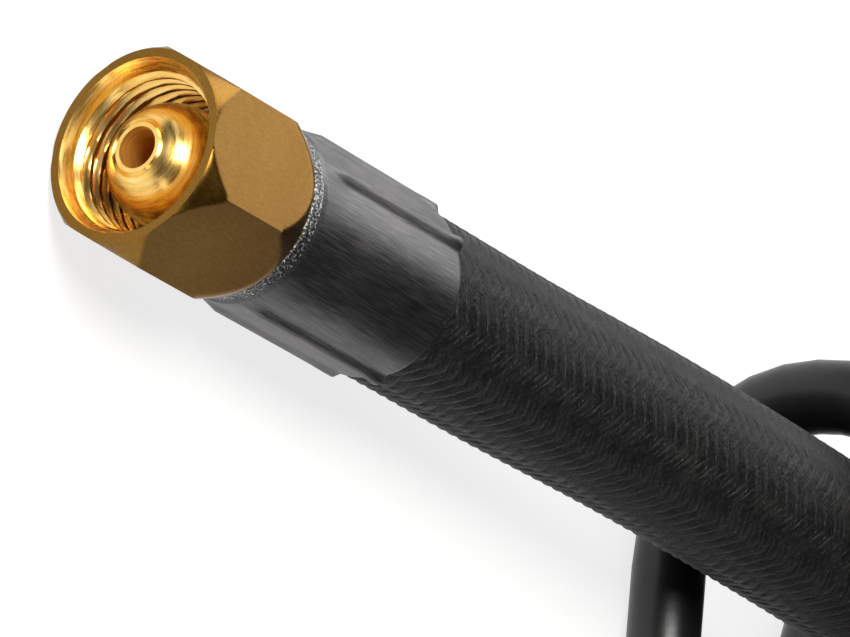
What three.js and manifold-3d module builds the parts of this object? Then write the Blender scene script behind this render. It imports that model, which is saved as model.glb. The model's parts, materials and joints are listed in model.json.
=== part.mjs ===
// A hand-held TIG welding torch with its lead put away: torch, braided power and gas hose with a union nut
// at its end, and a control cable with its plug. Millimetres, +Z up. The torch lies on its side, and the
// origin is on the floor under the middle of the torch. +X runs from the torch head back along the handle.
import * as THREE from 'three';
import { mergeVertices } from 'three/addons/utils/BufferGeometryUtils.js';
import Module from 'manifold-3d';

const wasm = await Module();
wasm.setup();

// ---- driving dimensions -------------------------------------------------------------------------------
const GAP = 0.3;                      // clearance between neighbouring pieces

// handle: two half shells, flat on both outer sides
const HANDLE_Y = 21;
const HANDLE_Z = 17;                  // half the width over the two flats
const HANDLE_FRONT = -45;
const HANDLE_REAR = 105;
const HANDLE_R = 18;
const HANDLE_WALL = 2.8;
const SPLIT_GAP = 0.3;
const SCREW_OFFSET = 11;              // screws stand this far from the handle axis, on the cup side
const SCREW_PLACES = [HANDLE_FRONT + 24, HANDLE_FRONT + 56];

// torch head: the cup axis leans forward from square to the handle
const HEAD_X = -80;
const HEAD_LEAN = THREE.MathUtils.degToRad(20);
const HEAD_R = 12;
const NECK_R = 9;
const CORE_R = 7;
const CORE_BORE = 4.9;
const NECK_TUBE_R = 4.75;
const GAS_BORE = 2.5;

// parts on the cup axis, measured from the head centre towards the cup
const CUP_START = 17.1;
const CUP_END = 64;
const CUP_BORE = 5.6;
const ELECTRODE_R = 1.2;
const ELECTRODE_TIP = 72;
const ELECTRODE_BACK = -78;
const CAP_FACE = -17.3;
const CAP_END = -115.7;

// trigger, on the side of the handle away from the cup
const BUTTON_LENGTH = 25;
const BUTTON_WIDTH = 11;
const BUTTON_X = 1;
const SPRING_X = -10.6;               // the spring stands in front of the switch, clear of its wires

// hose and its fitting
const HOSE_R = 9;
const NUT = new THREE.Vector3(-50, -219, 9.8);   // middle of the nut's open face
const FITTING_PITCH = THREE.MathUtils.degToRad(1.5);
const NUT_ACROSS_FLATS = 19;
const NUT_LENGTH = 15.6;
const FERRULE_START = 16;
const FERRULE_END = 40.1;
const FERRULE_R = 9.3;

// coils, each held up by the ties under it
const COIL_BASE = 1.6;
const HOSE_COIL = { x: 235, y: -99, inner: 75, outer: 129, height: 36 };
const CABLE_COIL = { x: 215, y: 94, inner: 34, outer: 58, height: 32 };
const TIE_THICKNESS = 1.2;

// control cable and its plug
const CABLE_R = 3.9;
const CABLE_OFFSET = 13.2;            // from the hose axis, where both leave the rear boot
const CABLE_START = 108.8;            // inside the rear boot, where the jacket ends and the wires go on
const PLUG = new THREE.Vector3(104, -268, 9.8);

// Middle line of each stretch that lies free.
const HOSE_TAIL = [[50, 21, 17], [95, 21, 17], [145, 21, 17], [167, 21, 18]];
const HOSE_END = [
  [-9.3, -219, 10.9], [10, -219.4, 12.1], [30, -220.1, 14.6], [50, -221.3, 17], [70, -222.5, 18.6],
  [90, -223.4, 18.8], [115, -223.8, 17.2], [142, -223.2, 14], [167, -222, 12],
];
const CABLE_TAIL = [
  [CABLE_START, 34.2, 17], [128, 34.2, 17], [143, 34.2, 16.6], [156, 34.6, 14.4], [170, 35.2, 10.6], [187, 35.6, 7.2],
];
const CABLE_LEAD = [
  [240, 35.6, 31], [248, 34.4, 35.6], [256, 31.2, 40.2], [266, 24, 43], [281, 8, 42.8], [304, -18, 42.6],
  [325, -47, 42.6], [337, -81, 42.6], [337, -117, 42.6], [325, -151, 42.6], [302, -179, 42.6], [271, -197, 42.6],
  [238, -206, 43.6], [206, -212, 43.4], [181, -218, 40], [157, -222.6, 34.6], [134, -224.4, 31.4],
  [118, -222, 31.6], [108, -216.4, 31.6], [99.6, -210.6, 28.2], [93.6, -208, 21.4], [89.8, -210, 12.6],
  [87, -216, 6], [84.4, -224.6, 4.2], [81.6, -233, 6.6], [79.2, -238.6, 13.6], [76.8, -239.6, 22.4],
  [73.8, -236, 29.8], [69.8, -228.6, 33.6], [65.6, -219.8, 33.8], [62, -211.8, 30], [59.4, -207.4, 22.4],
  [57.4, -207.8, 13.6], [56, -213.2, 6.8], [55.2, -221.4, 4.15], [55, -230.6, 4.1], [56, -240, 4.1],
  [59.4, -249, 4.15], [66, -257, 4.6], [76, -263.4, 6.6], [89, -267, 8.9], [100, -268, 9.8], [110, -268, 9.8],
];
const WRAP_START = 17;                // points of CABLE_LEAD where the cable starts and stops winding on the hose
const WRAP_END = 36;

// ---- materials ----------------------------------------------------------------------------------------
const material = (color, roughness, metalness) =>
  new THREE.MeshStandardMaterial({ color, roughness, metalness });
const blackPlastic = material(0x191a1b, 0.5, 0);
const blackRubber = material(0x121212, 0.7, 0);
const braid = material(0x161616, 0.85, 0);
const cableJacket = material(0x101011, 0.35, 0);
const brass = material(0xc79a3c, 0.28, 1);
const steel = material(0x4a4c50, 0.38, 1);
const brightSteel = material(0xa8abad, 0.3, 1);
const copper = material(0xb36a44, 0.32, 1);
const alumina = material(0xd98a77, 0.55, 0);
const tungsten = material(0x8c8f94, 0.3, 1);
const whiteInsulator = material(0xe9e7df, 0.5, 0);
const orangeRubber = material(0xb8552a, 0.6, 0);
const greyPlastic = material(0x6d7073, 0.5, 0);
const redPlastic = material(0xa32620, 0.42, 0);

// ---- geometry helpers ---------------------------------------------------------------------------------
/** A turned solid about +Y from [radius, y] points that run anticlockwise and close on the axis or on itself. */
function turned(points, segments = 24) {
  return new THREE.LatheGeometry(points.map(([r, y]) => new THREE.Vector2(r, y)), segments);
}

function rod(radius, y0, y1, segments = 24) {
  return turned([[0, y0], [radius, y0], [radius, y1], [0, y1]], segments);
}

function hollow(inner, outer, y0, y1, segments = 24) {
  return turned([[inner, y0], [outer, y0], [outer, y1], [inner, y1], [inner, y0]], segments);
}

function box(x0, x1, y0, y1, z0, z1) {
  const block = new THREE.BoxGeometry(x1 - x0, y1 - y0, z1 - z0);
  return block.translate((x0 + x1) / 2, (y0 + y1) / 2, (z0 + z1) / 2);
}

/** Turns a piece made about +Y so that its axis runs along +X. */
const alongX = (geometry) => geometry.rotateZ(-Math.PI / 2);
const alongZ = (geometry) => geometry.rotateX(Math.PI / 2);

function toSolid(geometry) {
  const bare = geometry.clone();
  bare.deleteAttribute('normal');
  bare.deleteAttribute('uv');
  const merged = mergeVertices(bare, 1e-4);
  const vertProperties = new Float32Array(merged.attributes.position.array);
  const triVerts = new Uint32Array(merged.index.array);
  return new wasm.Manifold(new wasm.Mesh({ numProp: 3, vertProperties, triVerts }));
}

function fromSolid(solid) {
  const mesh = solid.getMesh();
  const geometry = new THREE.BufferGeometry();
  geometry.setAttribute('position', new THREE.BufferAttribute(mesh.vertProperties, 3));
  geometry.setIndex(new THREE.BufferAttribute(mesh.triVerts, 1));
  return geometry;
}

function join(first, ...others) {
  return fromSolid(others.reduce((solid, other) => solid.add(toSolid(other)), toSolid(first)));
}

function cut(first, ...others) {
  return fromSolid(others.reduce((solid, other) => solid.subtract(toSolid(other)), toSolid(first)));
}

function common(first, second) {
  return fromSolid(toSolid(first).intersect(toSolid(second)));
}

/** A round tube along a path. */
function tube(path, radius, steps, sides) {
  const section = new THREE.Shape();
  for (let i = 0; i < sides; i += 1) {
    const angle = (2 * Math.PI * i) / sides;
    const x = radius * Math.cos(angle);
    const y = radius * Math.sin(angle);
    if (i === 0) section.moveTo(x, y);
    else section.lineTo(x, y);
  }
  section.closePath();
  return new THREE.ExtrudeGeometry(section, { steps, extrudePath: path, bevelEnabled: false });
}

const smooth = (points) => new THREE.CatmullRomCurve3(points, false, 'centripetal');
const routePath = (route) => smooth(route.map((point) => new THREE.Vector3(...point)));

/** A round tube whose middle line passes through the route's points. */
const cord = (route, radius, steps, sides) => tube(routePath(route), radius, steps, sides);

/** The stretch of a longer cord between two of its route's points, short of each by half a gap. */
function cordStretch(route, first, last, radius, steps, sides) {
  const path = routePath(route);
  const divisions = 40 * (route.length - 1);
  const lengths = path.getLengths(divisions);
  const total = lengths[divisions];
  const from = (lengths[40 * first] + (first > 0 ? GAP : 0)) / total;
  const to = (lengths[40 * last] - (last < route.length - 1 ? GAP : 0)) / total;
  const points = [];
  const samples = 4 * steps;
  for (let i = 0; i <= samples; i += 1) points.push(path.getPointAt(from + ((to - from) * i) / samples));
  return tube(smooth(points), radius, steps, sides);
}

function node(parent, name, geometry, look) {
  const mesh = new THREE.Mesh(geometry, look);
  mesh.name = name;
  parent.add(mesh);
  return mesh;
}

// ---- handle -------------------------------------------------------------------------------------------
function handleBody() {
  const front = HANDLE_FRONT;
  const rear = HANDLE_REAR;
  const outer = [[NECK_R + GAP, front], [13.5, front], [15.5, front + 4], [16.6, front + 22], [16.6, front + 60],
    [17.6, rear - 55], [HANDLE_R, rear - 20], [17.4, rear]];
  const inner = [[15.2, rear], [15.2, rear - 20], [14.9, rear - 55], [13.8, front + 60], [13.8, front + 22],
    [12.7, front + 5], [NECK_R + GAP, front + 5], [NECK_R + GAP, front]];
  return alongX(turned([...outer, ...inner], 32));
}

function screwBoss(x) {
  const whole = alongZ(rod(3.4, -HANDLE_R, HANDLE_R, 12)).translate(x, SCREW_OFFSET, 0);
  const envelope = alongX(rod(16, HANDLE_FRONT + 2, HANDLE_REAR - 2, 32));
  return common(whole, envelope);
}

function handleShells() {
  const flats = box(HANDLE_FRONT - 1, HANDLE_REAR + 1, -20, 20, -HANDLE_Z, HANDLE_Z);
  const half = (BUTTON_LENGTH + 2 * GAP) / 2;
  const side = BUTTON_WIDTH / 2 + GAP;
  const window = box(BUTTON_X - half, BUTTON_X + half, -22, -9, -side, side);
  const shanks = SCREW_PLACES.map((x) => alongZ(rod(1.8, -11.4, 14, 12)).translate(x, SCREW_OFFSET, 0));
  const heads = SCREW_PLACES.map((x) => alongZ(rod(3, 9.3, HANDLE_R, 12)).translate(x, SCREW_OFFSET, 0));
  const whole = join(handleBody(), ...SCREW_PLACES.map(screwBoss));
  const shaped = cut(common(whole, flats), window, ...shanks, ...heads);
  const upper = box(HANDLE_FRONT - 1, HANDLE_REAR + 1, -20, 20, SPLIT_GAP / 2, 20);
  const lower = box(HANDLE_FRONT - 1, HANDLE_REAR + 1, -20, 20, -20, -SPLIT_GAP / 2);
  return { upper: common(shaped, upper), lower: common(shaped, lower) };
}

function handleScrew(x) {
  const screw = turned([[0, -11], [1.5, -11], [1.5, 9.6], [2.7, 9.6], [2.7, 11.8], [0, 11.8]], 12);
  return screw.rotateX(Math.PI / 2).translate(x, SCREW_OFFSET, 0);
}

/** Moulded rubber end: a plug in the handle's rear, a flange, and a tapered boot for the hose and one for the cable. */
function rearBoot() {
  const flange = HANDLE_REAR + GAP;
  const hoseBoot = alongX(turned([[0, HANDLE_REAR - 8], [14.8, HANDLE_REAR - 8], [14.8, flange], [16.6, flange],
    [16.6, flange + 5], [13.6, flange + 8], [10.6, flange + 38], [0, flange + 38]], 24));
  const cableBoot = alongX(turned([[0, flange + 2], [6.8, flange + 2], [6.8, flange + 6], [5.2, flange + 34],
    [0, flange + 34]], 16)).translate(0, CABLE_OFFSET, 0);
  const hoseHole = alongX(rod(HOSE_R + GAP, HANDLE_REAR - 20, HANDLE_REAR + 60, 24));
  const cableHole = alongX(rod(CABLE_R + GAP, CABLE_START - GAP, HANDLE_REAR + 60, 16)).translate(0, CABLE_OFFSET, 0);
  const wireHole = alongX(rod(1.9, HANDLE_REAR - 20, HANDLE_REAR + 8, 8)).translate(0, 12.2, 0);
  return cut(join(hoseBoot, cableBoot), hoseHole, cableHole, wireHole);
}

// ---- trigger ------------------------------------------------------------------------------------------
function triggerButton() {
  const half = BUTTON_LENGTH / 2;
  const width = BUTTON_WIDTH / 2;
  const key = box(BUTTON_X - half, BUTTON_X + half, -19.6, -12, -width, width);
  const flange = box(BUTTON_X - half - 3, BUTTON_X + half + 3, -12.2, -11, -width + 0.4, width - 0.4);
  return join(key, flange);
}

function microswitch() {
  const body = box(-7, 6, -8.6, -5.1, -3, 3);
  const hole = rod(1.4, -8.7, -6.2, 8);
  return cut(body, hole);
}

function helixSpring(radius, wire, turns, length) {
  const points = [];
  const perTurn = 8;
  for (let i = 0; i <= turns * perTurn; i += 1) {
    const angle = (2 * Math.PI * i) / perTurn;
    points.push([radius * Math.cos(angle), (length * i) / (turns * perTurn), radius * Math.sin(angle)]);
  }
  return cord(points, wire, turns * perTurn, 5);
}

// ---- torch head ---------------------------------------------------------------------------------------
/** A rod along the handle axis, given in the head's leaning frame. */
function neckRod(radius, x0, x1, segments = 24) {
  return alongX(rod(radius, x0 - HEAD_X, x1 - HEAD_X, segments)).rotateZ(-HEAD_LEAN);
}

function headCore() {
  const body = rod(CORE_R, -13.4, 13.4);
  const neck = neckRod(NECK_TUBE_R, HEAD_X, HANDLE_FRONT + 62);
  const bore = rod(CORE_BORE, -20, 20);
  const gasWay = neckRod(GAS_BORE, HEAD_X, HANDLE_FRONT + 70, 12);
  return cut(join(body, neck), bore, gasWay);
}

function headInsulator() {
  const body = turned([[0, -14], [10.6, -14], [HEAD_R, -12], [HEAD_R, 10.5], [11, 14], [0, 14]]);
  const neck = neckRod(NECK_R, HEAD_X, HANDLE_FRONT + 16);
  const bore = rod(CORE_R + GAP, -20, 20);
  const neckBore = neckRod(NECK_TUBE_R + GAP, HEAD_X, HANDLE_FRONT + 20);
  return cut(join(body, neck), bore, neckBore);
}

function colletBody() {
  const body = turned([[2.4, 3], [4.6, 3], [4.6, 14], [6.1, 14.2], [6.1, 20], [5, 21], [5, 37], [3.6, 41],
    [1.6, 41], [1.6, 38.5], [2.4, 37.6], [2.4, 3]]);
  const portA = alongX(rod(0.9, -8, 8, 8)).translate(0, 31, 0);
  const portB = alongZ(rod(0.9, -8, 8, 8)).translate(0, 31, 0);
  return cut(body, portA, portB);
}

function gasCup() {
  return turned([[6.6, CUP_START], [9.3, CUP_START], [9.6, CUP_START + 1], [9.6, CUP_START + 8], [9, CUP_START + 9],
    [8.4, CUP_START + 18], [7.5, CUP_START + 26], [7.3, CUP_END - 0.6], [6.9, CUP_END], [CUP_BORE, CUP_END],
    [CUP_BORE, CUP_START + 12], [6.6, CUP_START + 10], [6.6, CUP_START]], 28);
}

function electrode() {
  const back = ELECTRODE_BACK;
  return turned([[0, back], [ELECTRODE_R, back], [ELECTRODE_R, ELECTRODE_TIP - 5], [0.2, ELECTRODE_TIP],
    [0, ELECTRODE_TIP]], 12);
}

/** Long back cap: a threaded stem that enters the core, a grip skirt and a long tube for the electrode. */
function backCap() {
  const body = [[2.7, -6], [4.5, -6], [4.5, CAP_FACE], [8.6, CAP_FACE], [9, CAP_FACE - 1], [9, CAP_FACE - 12],
    [7.6, CAP_FACE - 16], [6.6, CAP_END + 8], [5.4, CAP_END + 2], [3, CAP_END], [0, CAP_END]];
  const bore = [[0, CAP_END + 12], [2.7, CAP_END + 12], [2.7, -6]];
  return turned([...bore, ...body.slice(1)].reverse(), 24);
}

// ---- hose fitting, about +X from the nut's open face --------------------------------------------------
function unionNut() {
  const hexagon = new THREE.Shape();
  const corner = NUT_ACROSS_FLATS / Math.sqrt(3);
  for (let i = 0; i < 6; i += 1) {
    const angle = Math.PI / 6 + (i * Math.PI) / 3;
    const x = corner * Math.cos(angle);
    const y = corner * Math.sin(angle);
    if (i === 0) hexagon.moveTo(x, y);
    else hexagon.lineTo(x, y);
  }
  hexagon.closePath();
  const prism = new THREE.ExtrudeGeometry(hexagon, { depth: NUT_LENGTH, bevelEnabled: false });
  const chamfers = alongX(turned([[0, 0], [9.45, 0], [10.98, 2.5], [10.98, NUT_LENGTH - 4], [9.5, NUT_LENGTH],
    [0, NUT_LENGTH]], 36));
  const bore = alongX(turned([[0, -1], [8, -1], [8, 2], [7.5, 2.4], [7.5, 11], [5.9, 11.1], [5.9, 17], [0, 17]], 30));
  return cut(common(prism.rotateY(Math.PI / 2), chamfers), bore);
}

/** Ball-nosed nipple: bored seat, collar behind the nut's shoulder, and a barbed tail in the hose. */
function ballNipple() {
  const ball = [[2.1, 0.6], [2.6, 0.6]];
  const centre = 5.9;
  const ballR = 6;
  for (let i = 1; i <= 6; i += 1) {
    const x = 0.9 + (i * (centre - 0.9)) / 6;
    ball.push([Math.sqrt(ballR ** 2 - (x - centre) ** 2), x]);
  }
  const tail = [[7, 7.6], [7, 10.7], [5.5, 10.8], [5.5, 15.9], [7.6, 16], [7.6, 17]];
  for (let i = 0; i < 5; i += 1) tail.push([3.4, 17.2 + i * 4.2], [4, 21 + i * 4.2]);
  tail.push([3.2, 39], [2.1, 39], [2.1, 0.6]);
  return alongX(turned([...ball, ...tail], 24));
}

/** Crimped ferrule over the hose's end: a thin collar at the fitting and a sleeve around the hose. */
function crimpFerrule(start, end, outer) {
  return alongX(hollow(8.55, outer, start, end, 32));
}

const crimpedHoseEnd = (start, end) => alongX(hollow(4.3, 8.25, start, end, 24));

/** Brass piece that joins the neck tube to the hose, with a barbed tail like the nipple's. */
function powerAdapter() {
  const points = [[0, 17.4], [7, 17.4], [7, 20], [6, 20.2], [6, 22.6], [7.6, 22.8], [7.6, 24]];
  for (let i = 0; i < 5; i += 1) points.push([3.4, 24.4 + i * 4.4], [4, 28.4 + i * 4.4]);
  points.push([3.2, 48], [0, 48]);
  return alongX(turned(points, 20));
}

// ---- coils and ties -----------------------------------------------------------------------------------
function coilRing({ inner, outer, height }, bevel, segments) {
  const low = COIL_BASE;
  const high = COIL_BASE + height;
  const ring = turned([[inner + bevel, low], [outer - bevel, low], [outer, low + bevel], [outer, high - bevel],
    [outer - bevel, high], [inner + bevel, high], [inner, high - bevel], [inner, low + bevel], [inner + bevel, low]],
  segments);
  return ring.rotateX(Math.PI / 2);
}

function octagon(x0, x1, y0, y1, bevel, Path) {
  const outline = new Path();
  outline.moveTo(x0 + bevel, y0);
  outline.lineTo(x1 - bevel, y0);
  outline.lineTo(x1, y0 + bevel);
  outline.lineTo(x1, y1 - bevel);
  outline.lineTo(x1 - bevel, y1);
  outline.lineTo(x0 + bevel, y1);
  outline.lineTo(x0, y1 - bevel);
  outline.lineTo(x0, y0 + bevel);
  outline.closePath();
  return outline;
}

/** A tie around a coil's section, at an angle about the coil's middle. */
function coilTie({ inner, outer, height }, bevel, width, angle) {
  const t = TIE_THICKNESS;
  const low = COIL_BASE - GAP;
  const high = COIL_BASE + height + GAP;
  const loop = octagon(inner - GAP - t - 0.6, outer + GAP + t, low - t, high + t, bevel, THREE.Shape);
  loop.holes.push(octagon(inner - GAP - 0.6, outer + GAP, low, high, bevel * 0.85, THREE.Path));
  const tie = new THREE.ExtrudeGeometry(loop, { depth: width, bevelEnabled: false });
  return tie.translate(0, 0, -width / 2).rotateX(Math.PI / 2).rotateZ(angle);
}

// ---- control plug, about +X from where the cable enters ----------------------------------------------
function plugContacts() {
  const disc = alongX(rod(5.4, 52.4, 53.6, 16));
  const pins = [];
  for (let i = 0; i < 5; i += 1) {
    const angle = Math.PI / 4 + (i * Math.PI) / 4;
    const pin = alongX(rod(0.8, 53, 60, 8));
    pins.push(pin.translate(0, 3.8 * Math.cos(angle), 3.8 * Math.sin(angle)));
  }
  return join(disc, ...pins);
}

// ---- assembly -----------------------------------------------------------------------------------------
const torch = new THREE.Group();

const handle = new THREE.Group();
handle.position.set(0, HANDLE_Y, HANDLE_Z);
torch.add(handle);
const shells = handleShells();
node(handle, 'handle_shell_upper', shells.upper, blackPlastic);
node(handle, 'handle_shell_lower', shells.lower, blackPlastic);
node(handle, 'handle_screw_front', handleScrew(SCREW_PLACES[0]), brightSteel);
node(handle, 'handle_screw_rear', handleScrew(SCREW_PLACES[1]), brightSteel);
node(handle, 'rear_boot', rearBoot(), blackRubber);
node(handle, 'trigger_button', triggerButton(), redPlastic);
node(handle, 'trigger_spring', helixSpring(2, 0.35, 3, 1.9).translate(SPRING_X, -10.2, 0), brightSteel);
node(handle, 'microswitch_body', microswitch(), greyPlastic);
node(handle, 'switch_plunger', rod(1.1, -10.7, -8.4, 8), whiteInsulator);
node(handle, 'power_adapter', powerAdapter(), brass);
node(handle, 'handle_crimp_ferrule', crimpFerrule(24.4, 49.6, 10.2), steel);
node(handle, 'handle_crimped_hose_end', crimpedHoseEnd(24.6, 49.4), blackRubber);
const wireRoute = [
  [6.4, -6.8, 0], [10, -7, 1.5], [14, -7.5, 5], [20, -4, 11], [28, 3, 11.6], [40, 9.2, 7.7], [55, 12.1, 1.5],
  [80, 12.2, 0], [CABLE_START - GAP, 12.2, 0],
];
node(handle, 'switch_wires', cord(wireRoute, 1.1, 24, 6), blackRubber);

const head = new THREE.Group();
head.position.set(HEAD_X, HANDLE_Y, HANDLE_Z);
head.rotation.z = HEAD_LEAN;
torch.add(head);
node(head, 'torch_head_core', headCore(), brass);
node(head, 'torch_head_insulator', headInsulator(), blackRubber);
node(head, 'cup_gasket', hollow(6.5, 10.6, 14.3, CUP_START - GAP), whiteInsulator);
node(head, 'collet_body', colletBody(), copper);
node(head, 'collet', hollow(1.45, 2.1, -10, 37, 12), copper);
node(head, 'gas_cup', gasCup(), alumina);
node(head, 'tungsten_electrode', electrode(), tungsten);
node(head, 'back_cap', backCap(), blackPlastic);
node(head, 'back_cap_o_ring', new THREE.TorusGeometry(5.9, 0.95, 8, 24).rotateX(Math.PI / 2).translate(0, -15.6, 0),
  orangeRubber);

const fitting = new THREE.Group();
fitting.position.copy(NUT);
fitting.rotation.y = -FITTING_PITCH;
node(fitting, 'union_nut', unionNut(), brass);
node(fitting, 'ball_nipple', ballNipple(), brass);
node(fitting, 'crimp_ferrule', crimpFerrule(FERRULE_START, FERRULE_END, FERRULE_R), steel);
node(fitting, 'crimped_hose_end', crimpedHoseEnd(17.6, 39.8), blackRubber);

const lead = new THREE.Group();
lead.add(fitting);
node(lead, 'hose_tail', cord(HOSE_TAIL, HOSE_R, 6, 12), braid);
node(lead, 'hose_end_stretch', cord(HOSE_END, HOSE_R, 12, 12), braid);
const hoseCoil = node(lead, 'hose_coil', coilRing(HOSE_COIL, 5, 40), braid);
hoseCoil.position.set(HOSE_COIL.x, HOSE_COIL.y, 0);
node(lead, 'cable_tail', cord(CABLE_TAIL, CABLE_R, 8, 8), cableJacket);
const lastPoint = CABLE_LEAD.length - 1;
node(lead, 'cable_over_coil', cordStretch(CABLE_LEAD, 0, WRAP_START, CABLE_R, 30, 8), cableJacket);
node(lead, 'cable_wrap', cordStretch(CABLE_LEAD, WRAP_START, WRAP_END, CABLE_R, 26, 8), cableJacket);
node(lead, 'cable_to_plug', cordStretch(CABLE_LEAD, WRAP_END, lastPoint, CABLE_R, 6, 8), cableJacket);
const cableCoil = node(lead, 'cable_coil', coilRing(CABLE_COIL, 3, 32), cableJacket);
cableCoil.position.set(CABLE_COIL.x, CABLE_COIL.y, 0);
[150, 205, 262].forEach((degrees, i) => {
  const tie = coilTie(HOSE_COIL, 5, 20, THREE.MathUtils.degToRad(degrees));
  node(lead, `hose_coil_tie_${i + 1}`, tie, greyPlastic).position.set(HOSE_COIL.x, HOSE_COIL.y, 0);
});
[20, 150].forEach((degrees, i) => {
  const tie = coilTie(CABLE_COIL, 3, 12, THREE.MathUtils.degToRad(degrees));
  node(lead, `cable_coil_tie_${i + 1}`, tie, greyPlastic).position.set(CABLE_COIL.x, CABLE_COIL.y, 0);
});

const plug = new THREE.Group();
plug.position.copy(PLUG);
lead.add(plug);
node(plug, 'plug_strain_relief', alongX(turned([[CABLE_R + GAP, 0], [4.9, 0], [7.2, 24], [0, 24], [0, 8.4],
  [CABLE_R + GAP, 8.4], [CABLE_R + GAP, 0]], 16)), blackRubber);
node(plug, 'plug_shell', alongX(hollow(6.9, 8.1, 24.4, 50, 24)), brightSteel);
node(plug, 'plug_insert', alongX(rod(6.5, 40, 52, 20)), greyPlastic);
node(plug, 'plug_contacts', plugContacts(), brass);
node(plug, 'plug_coupling_ring', alongX(turned([[8.4, 34], [9.2, 34], [9.5, 35], [9.5, 65], [9.2, 66], [8.4, 66],
  [8.4, 34]], 28)), brightSteel);

const assembly = new THREE.Group();
assembly.add(torch, lead);
export default assembly;
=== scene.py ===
import json
import math
import bmesh
import bpy
import numpy as np
from mathutils import Matrix, Vector


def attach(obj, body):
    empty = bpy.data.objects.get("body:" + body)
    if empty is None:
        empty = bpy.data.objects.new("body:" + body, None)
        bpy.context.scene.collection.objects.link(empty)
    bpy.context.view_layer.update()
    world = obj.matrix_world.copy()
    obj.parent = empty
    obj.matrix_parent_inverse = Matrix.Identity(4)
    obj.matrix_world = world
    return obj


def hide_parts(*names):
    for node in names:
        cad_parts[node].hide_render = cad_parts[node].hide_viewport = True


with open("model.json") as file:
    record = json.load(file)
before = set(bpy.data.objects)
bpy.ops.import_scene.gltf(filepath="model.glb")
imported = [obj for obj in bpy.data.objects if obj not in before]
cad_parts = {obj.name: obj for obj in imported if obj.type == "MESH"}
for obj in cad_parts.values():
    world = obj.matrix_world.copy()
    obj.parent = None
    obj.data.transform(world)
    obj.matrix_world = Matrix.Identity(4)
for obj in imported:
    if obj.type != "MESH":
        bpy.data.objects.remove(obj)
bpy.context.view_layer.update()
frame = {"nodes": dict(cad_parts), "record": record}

# ---- sizes and places, in millimetres in the CAD frame ------------------------------------------------
MM = 0.001
HOSE_R = 9.0
CABLE_R = 3.9
HANDLE_Y, HANDLE_Z = 21.0, 17.0
HEAD = Vector((-80, HANDLE_Y, HANDLE_Z))
HEAD_LEAN = math.radians(20)
NUT = Vector((-50, -219, 9.8))          # middle of the nut's open face
FITTING_PITCH = math.radians(1.5)
NUT_FLATS = 19.0
NUT_LENGTH = 15.6
FERRULE = (16.0, 40.1)
HOSE_COIL = Vector((235, -99, 0))
HOSE_TURNS = 120, 84                    # radii of the hose coil's outer and inner turns
HOSE_LAYERS = 10.6, 28.6                # heights of its two layers
CABLE_COIL = Vector((215, 94, 0))
CABLE_TURNS = 54, 38
CABLE_LAYERS = 4
CABLE_LAYER_START, CABLE_LAYER_RISE = 5.6, 8
CABLE_START = 108.8
PLUG = Vector((104, -268, 9.8))

HOSE_TAIL = [(50.3, 21, 17), (95, 21, 17), (145, 21, 17), (167, 21, 18)]
HOSE_END = [
    (-9.88, -219, 10.88), (10, -219.4, 12.1), (30, -220.1, 14.6), (50, -221.3, 17), (70, -222.5, 18.6),
    (90, -223.4, 18.8), (115, -223.8, 17.2), (142, -223.2, 14), (167, -222, 12), (200, -220, 10.8),
]
HOSE_OFF_COIL = [(235, 21, 28.6), (200, 21, 23)]
CABLE_TAIL = [
    (CABLE_START, 34.2, 17), (128, 34.2, 17), (143, 34.2, 16.6), (156, 34.6, 14.4), (170, 35.2, 10.6),
    (187, 35.9, 7),
]
CABLE_LEAD = [
    (215, 40, 29.6), (240, 35.6, 31), (248, 34.4, 35.6), (256, 31.2, 40.2), (266, 24, 43), (281, 8, 42.8),
    (304, -18, 42.6),
    (325, -47, 42.6), (337, -81, 42.6), (337, -117, 42.6), (325, -151, 42.6), (302, -179, 42.6),
    (271, -197, 42.6), (238, -206, 43.6), (206, -212, 43.4), (181, -218, 40), (157, -222.6, 34.6),
    (134, -224.4, 31.4), (118, -222, 31.6), (108, -216.4, 31.6), (99.6, -210.6, 28.2), (93.6, -208, 21.4),
    (89.8, -210, 12.6), (87, -216, 6), (84.4, -224.6, 4.2), (81.6, -233, 6.6), (79.2, -238.6, 13.6),
    (76.8, -239.6, 22.4), (73.8, -236, 29.8), (69.8, -228.6, 33.6), (65.6, -219.8, 33.8), (62, -211.8, 30),
    (59.4, -207.4, 22.4), (57.4, -207.8, 13.6), (56, -213.2, 6.8), (55.2, -221.4, 4.15), (55, -230.6, 4.1),
    (56, -240, 4.1), (59.4, -249, 4.15), (66, -257, 4.6), (76, -263.4, 6.6), (89, -267, 8.9),
    (100, -268, 9.8), (110, -268, 9.8),
]


# ---- camera: looks at the hose's end from above and in front, rolled as the picture is -----------------
# The seen directions and place are in the camera's own frame: right, down and forward.
AXIS_SEEN = Vector((0.56436, 0.33194, 0.75585))     # along the fitting, towards the hose
CROSS_SEEN = Vector((0.65152, 0.38320, -0.65474))   # square to the fitting
LEFT_SEEN = Vector((0.50698, -0.86196, 0.0))        # square to both
NUT_SEEN = Vector((-26.85, -15.97, 643.97))         # the same point as NUT
FLOOR_TILT, FLOOR_TURN = math.radians(1), math.radians(30)      # along the fitting and about it
SENSOR_WIDTH = 36
FOCAL_TO_WIDTH = 7000 / 850             # focal length over the picture's width
CLIP_START = 0.05


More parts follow.
